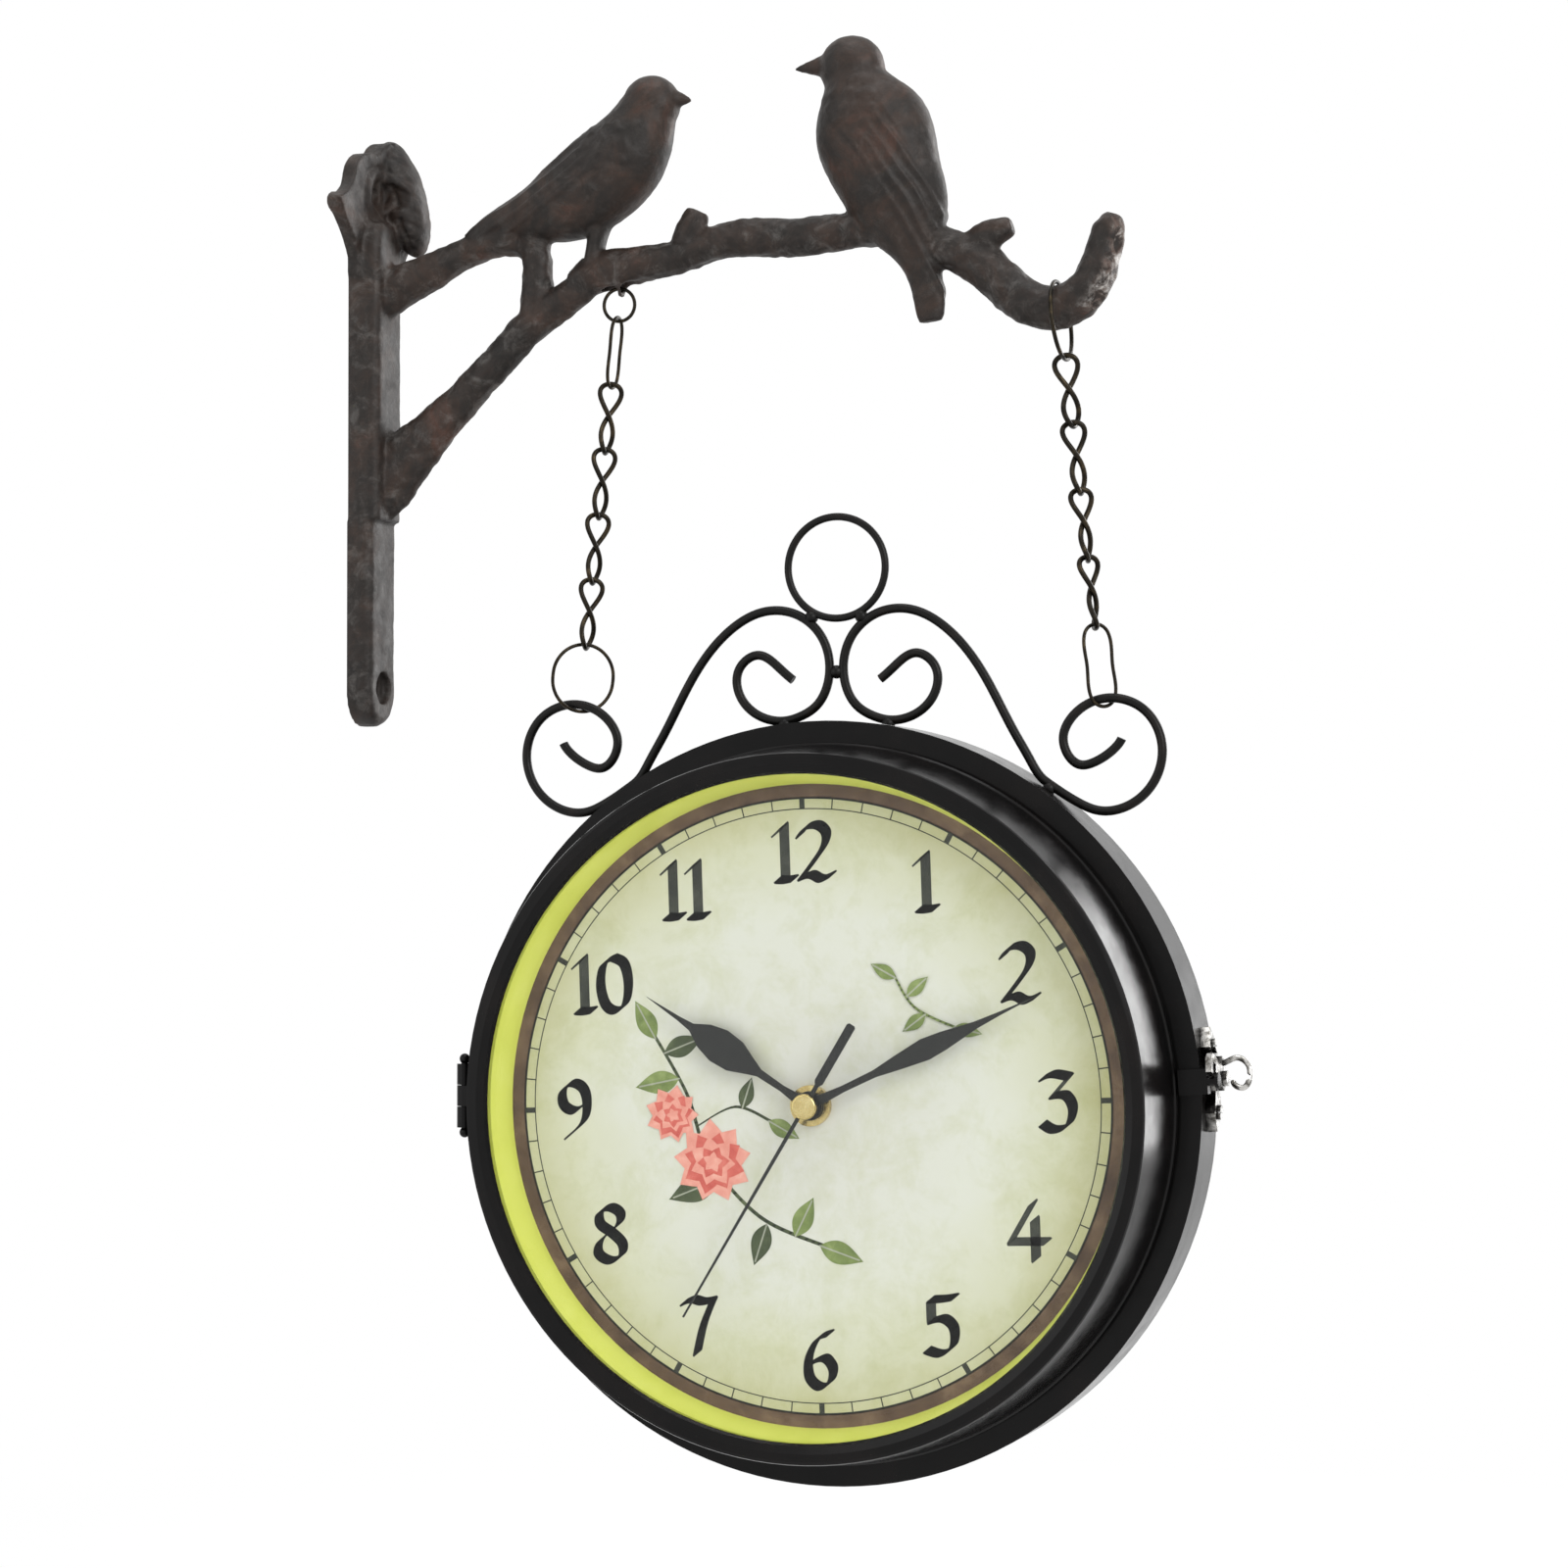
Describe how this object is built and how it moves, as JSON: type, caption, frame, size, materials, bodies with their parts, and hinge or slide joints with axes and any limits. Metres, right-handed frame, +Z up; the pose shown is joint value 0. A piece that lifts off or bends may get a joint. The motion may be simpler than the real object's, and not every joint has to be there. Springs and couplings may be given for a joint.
{
  "type": "double-sided wall clock",
  "caption": "Double-sided round wall clock hung by chains from a cast branch bracket with perched birds; the front half opens on a hinge and has a hook latch.",
  "frame": {"origin": "midpoint between the two wall screw holes, on the wall plane at the back of the wall plate", "axes": "+X out from the wall along the branch, +Z up, the front dial faces -Y"},
  "size_m": [0.2611, 0.0744, 0.4005],
  "materials": {
    "cast": "dark brown-black cast iron, red-brown on the high spots",
    "chain": "dark antique bronze plated wire",
    "rods": "satin black paint",
    "case": "gloss black paint",
    "lens": "clear flat glass",
    "liner": "lime green",
    "dial": "printed pale sage paper on a metal disc",
    "steel": "plain zinc plated",
    "black_plastic": "moulded black",
    "white_plastic": "moulded natural white",
    "cell": "plain wrapped cell",
    "nut": "polished",
    "hands": "black paint",
    "nickel": "bright nickel plate"
  },
  "bodies": {
    "bracket": {"wall_plate": "cast", "branch_arm": "cast", "left_bird": "cast", "right_bird": "cast"},
    "left_chain": {"left_top_ring": "chain", "left_oval_link": "chain", "left_jack_links": "chain", "left_bottom_ring": "chain"},
    "right_chain": {"right_hook_ring": "chain", "right_jack_links": "chain", "right_bottom_link": "chain"},
    "clock": {"crown_left_scroll": "rods", "crown_right_scroll": "rods", "crown_ring": "rods", "crown_welds": "rods", "case_band": "case", "rear_pan": "case", "rear_lens": "lens", "rear_liner": "liner", "rear_dial": "dial", "rear_retainer": "steel", "rear_movement_case": "black_plastic", "rear_movement_cover": "black_plastic", "rear_cell": "cell", "rear_nut": "nut", "hinge_leaf_rear": "case", "hinge_pin": "steel", "hinge_rivets_rear": "steel", "latch_plate": "nickel", "latch_screws": "nickel", "latch_rivet": "nickel"},
    "front_half": {"front_pan": "case", "front_lens": "lens", "front_liner": "liner", "front_dial": "dial", "front_retainer": "steel", "front_movement_case": "black_plastic", "front_movement_cover": "black_plastic", "front_cell": "cell", "front_nut": "nut", "hinge_leaf_front": "case", "hinge_rivets_front": "steel", "latch_catch": "nickel"},
    "latch_hook": {"latch_hook": "nickel"},
    "front_minutes": {"front_minute_hand": "hands", "front_minute_wheel": "white_plastic"},
    "front_hours": {"front_hour_hand": "hands", "front_hour_wheel": "white_plastic"},
    "front_seconds": {"front_second_hand": "hands", "front_second_cap": "nut", "front_second_arbor": "white_plastic"},
    "front_motion": {"front_motion_wheel": "white_plastic"},
    "rear_minutes": {"rear_minute_hand": "hands", "rear_minute_wheel": "white_plastic"},
    "rear_hours": {"rear_hour_hand": "hands", "rear_hour_wheel": "white_plastic"},
    "rear_seconds": {"rear_second_hand": "hands", "rear_second_cap": "nut", "rear_second_arbor": "white_plastic"},
    "rear_motion": {"rear_motion_wheel": "white_plastic"}
  },
  "joints": [
    {"name": "left_swing", "type": "hinge", "parent": "bracket", "child": "left_chain", "pos_m": [0.0802, 0, 0.041], "axis": [1, 0, 0], "range_deg": [-12, 12]},
    {"name": "right_swing", "type": "hinge", "parent": "bracket", "child": "right_chain", "pos_m": [0.2078, 0, 0.0305], "axis": [1, 0, 0], "range_deg": [-14, 14]},
    {"name": "clock_tilt", "type": "hinge", "parent": "left_chain", "child": "clock", "pos_m": [0.06804, 0, -0.07648], "axis": [1, 0, 0], "range_deg": [-12, 12]},
    {"name": "front_door", "type": "hinge", "parent": "clock", "child": "front_half", "pos_m": [0.0364, -0.0085, -0.187], "axis": [0, 0, -1], "range_deg": [0, 90]},
    {"name": "latch_swing", "type": "hinge", "parent": "clock", "child": "latch_hook", "pos_m": [0.24996, -0.001, -0.17922], "axis": [-0.9973, 0, -0.0732], "range_deg": [-18, 30]},
    {"name": "front_minute_spin", "type": "hinge", "parent": "front_half", "child": "front_minutes", "pos_m": [0.144, -0.026, -0.187], "axis": [0, 1, 0], "continuous": true},
    {"name": "front_hour_spin", "type": "hinge", "parent": "front_half", "child": "front_hours", "pos_m": [0.144, -0.026, -0.187], "axis": [0, 1, 0], "continuous": true},
    {"name": "front_second_spin", "type": "hinge", "parent": "front_half", "child": "front_seconds", "pos_m": [0.144, -0.026, -0.187], "axis": [0, 1, 0], "continuous": true},
    {"name": "front_motion_spin", "type": "hinge", "parent": "front_half", "child": "front_motion", "pos_m": [0.144, -0.026, -0.175], "axis": [0, 1, 0], "continuous": true},
    {"name": "rear_minute_spin", "type": "hinge", "parent": "clock", "child": "rear_minutes", "pos_m": [0.144, 0.026, -0.187], "axis": [0, -1, 0], "continuous": true},
    {"name": "rear_hour_spin", "type": "hinge", "parent": "clock", "child": "rear_hours", "pos_m": [0.144, 0.026, -0.187], "axis": [0, -1, 0], "continuous": true},
    {"name": "rear_second_spin", "type": "hinge", "parent": "clock", "child": "rear_seconds", "pos_m": [0.144, 0.026, -0.187], "axis": [0, -1, 0], "continuous": true},
    {"name": "rear_motion_spin", "type": "hinge", "parent": "clock", "child": "rear_motion", "pos_m": [0.144, 0.026, -0.175], "axis": [0, -1, 0], "continuous": true}
  ],
  "couplings": [
    {"joint": "right_swing", "follows": "left_swing", "ratio": 1.0981},
    {"joint": "front_hour_spin", "follows": "front_minute_spin", "ratio": 0.083333},
    {"joint": "front_second_spin", "follows": "front_minute_spin", "ratio": 60},
    {"joint": "front_motion_spin", "follows": "front_minute_spin", "ratio": -0.33333},
    {"joint": "rear_hour_spin", "follows": "rear_minute_spin", "ratio": 0.083333},
    {"joint": "rear_second_spin", "follows": "rear_minute_spin", "ratio": 60},
    {"joint": "rear_motion_spin", "follows": "rear_minute_spin", "ratio": -0.33333}
  ]
}
